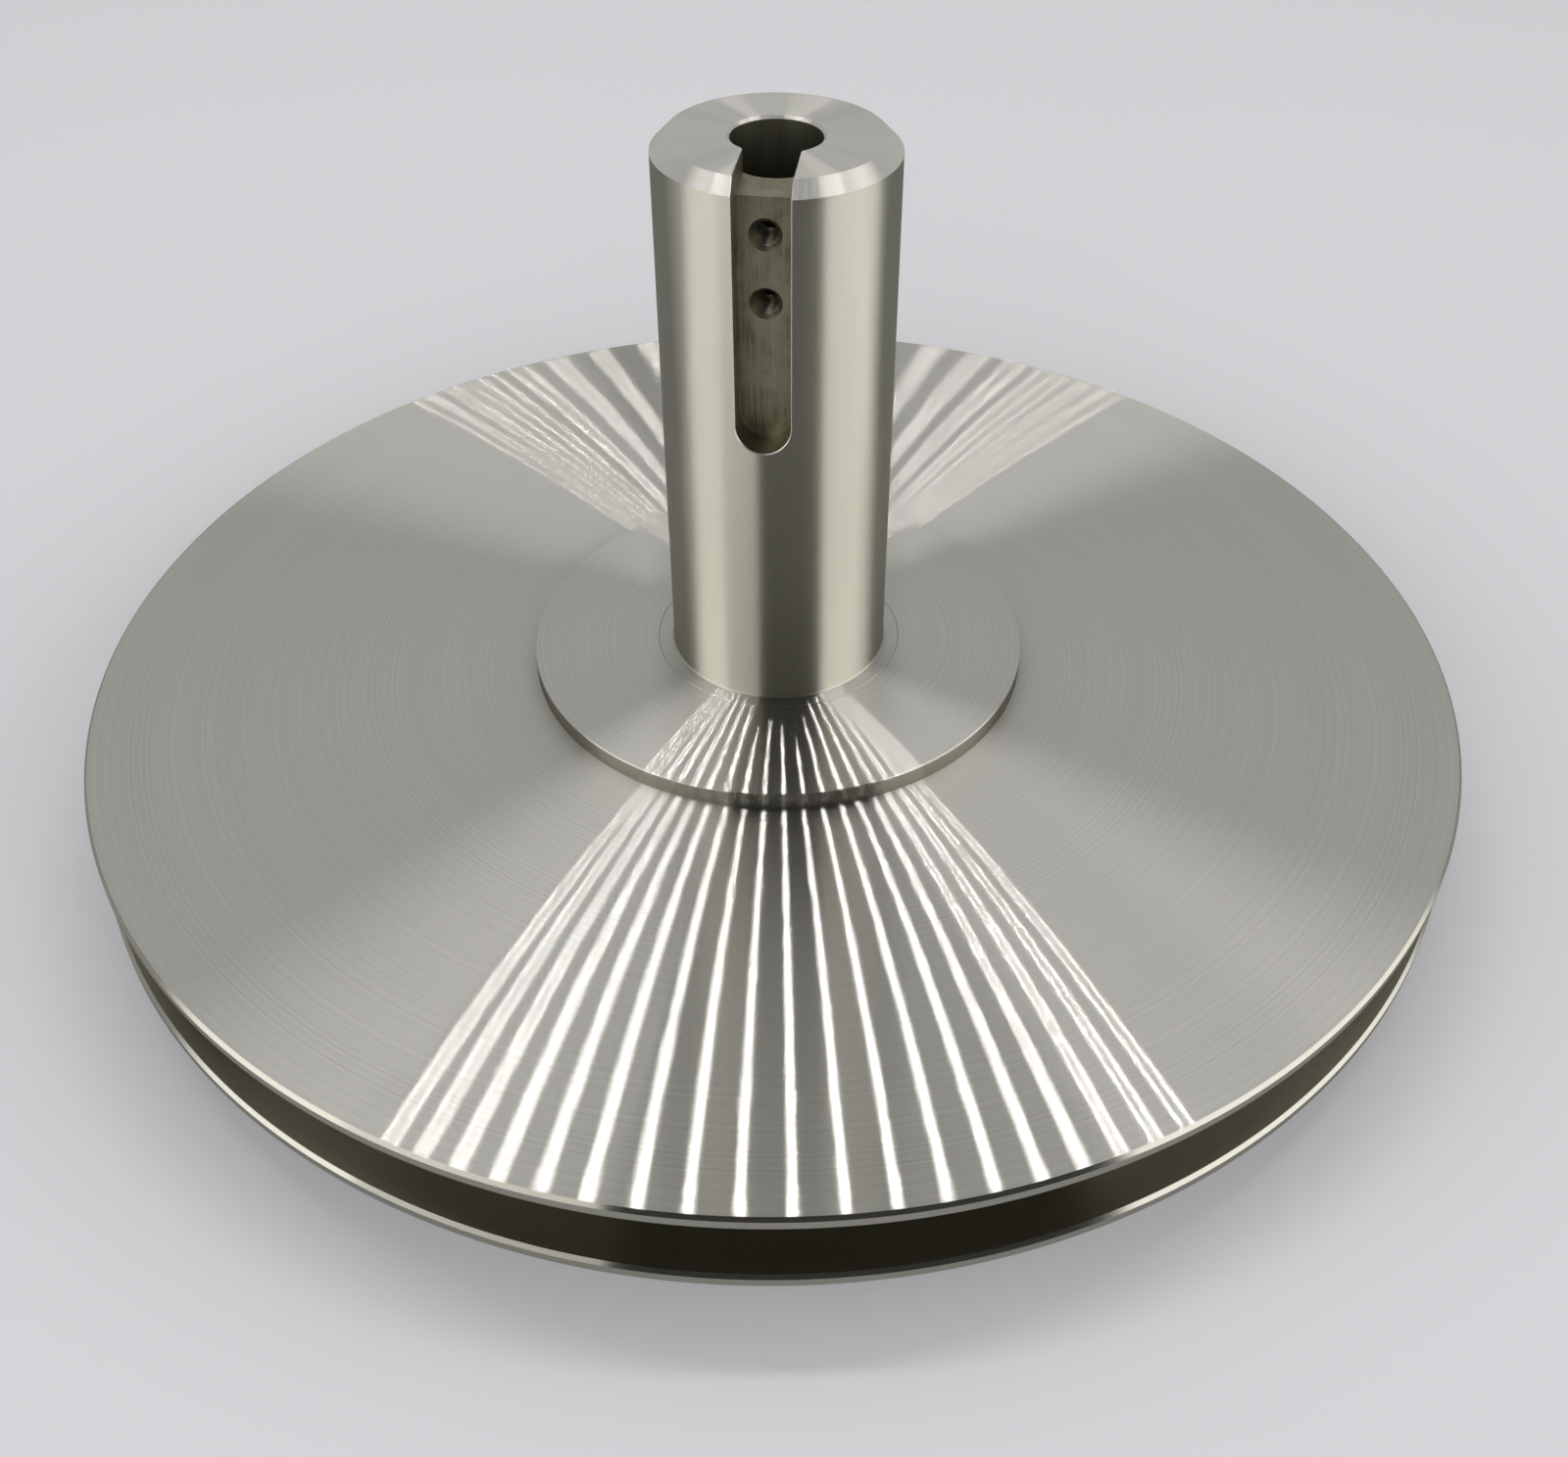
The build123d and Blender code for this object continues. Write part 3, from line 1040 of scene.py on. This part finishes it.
class WHEEL_OT_studio(bpy.types.Operator):
    """Lay the pale floor and set up the lamps, the surroundings and the camera"""

    bl_idname = "wheel.studio"
    bl_label = "Studio"

    def execute(self, context):
        scene = context.scene
        studio = scene.band_wheel_studio
        face = top_of("upper_cheek") * MM
        add_floor(scene, linear(scene.band_wheel_colours.paper))
        add_lamps(scene, studio, face)
        add_dark_board(scene)
        add_room(scene, studio.sky_strength)
        add_camera(scene, studio, face)
        scene.view_settings.view_transform = "Standard"
        return {"FINISHED"}


class WHEEL_PT_panel(bpy.types.Panel):
    """The wheel's pieces, sizes and finishes"""

    bl_idname = "WHEEL_PT_panel"
    bl_label = "Band wheel"
    bl_space_type = "VIEW_3D"
    bl_region_type = "UI"
    bl_category = "Band Wheel"

    def draw(self, context):
        for operator in STEPS:
            self.layout.operator(operator.bl_idname)
        for group in GROUPS:
            settings = getattr(context.scene, group)
            box = self.layout.box()
            for name in settings.bl_rna.properties.keys():
                if name not in ("rna_type", "name"):
                    box.prop(settings, name)


GROUPS = {
    "band_wheel_sizes": BandWheelSizes,
    "band_wheel_colours": BandWheelColours,
    "band_wheel_studio": BandWheelStudio,
}
STEPS = (WHEEL_OT_shaft, WHEEL_OT_hub, WHEEL_OT_cheeks, WHEEL_OT_clamping, WHEEL_OT_studio)


def register():
    for cls in (*GROUPS.values(), *STEPS, WHEEL_PT_panel):
        bpy.utils.register_class(cls)
    for name, group in GROUPS.items():
        setattr(bpy.types.Scene, name, PointerProperty(type=group))


def unregister():
    for name in GROUPS:
        delattr(bpy.types.Scene, name)
    for cls in reversed((*GROUPS.values(), *STEPS, WHEEL_PT_panel)):
        bpy.utils.unregister_class(cls)


def plain(value):
    """Bounds as plain lists that JSON can hold."""
    if isinstance(value, dict):
        return {key: plain(item) for key, item in value.items()}
    if isinstance(value, (str, int, float, bool)) or value is None:
        return value
    return [plain(item) for item in value]


def main():
    register()
    bpy.ops.wheel.shaft()
    bpy.ops.wheel.hub()
    bpy.ops.wheel.cheeks()
    bpy.ops.wheel.clamping()
    bpy.ops.wheel.studio()
    {"start": plain(START_BOUNDS), "end": plain(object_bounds())}


if __name__ == "__main__":
    main()
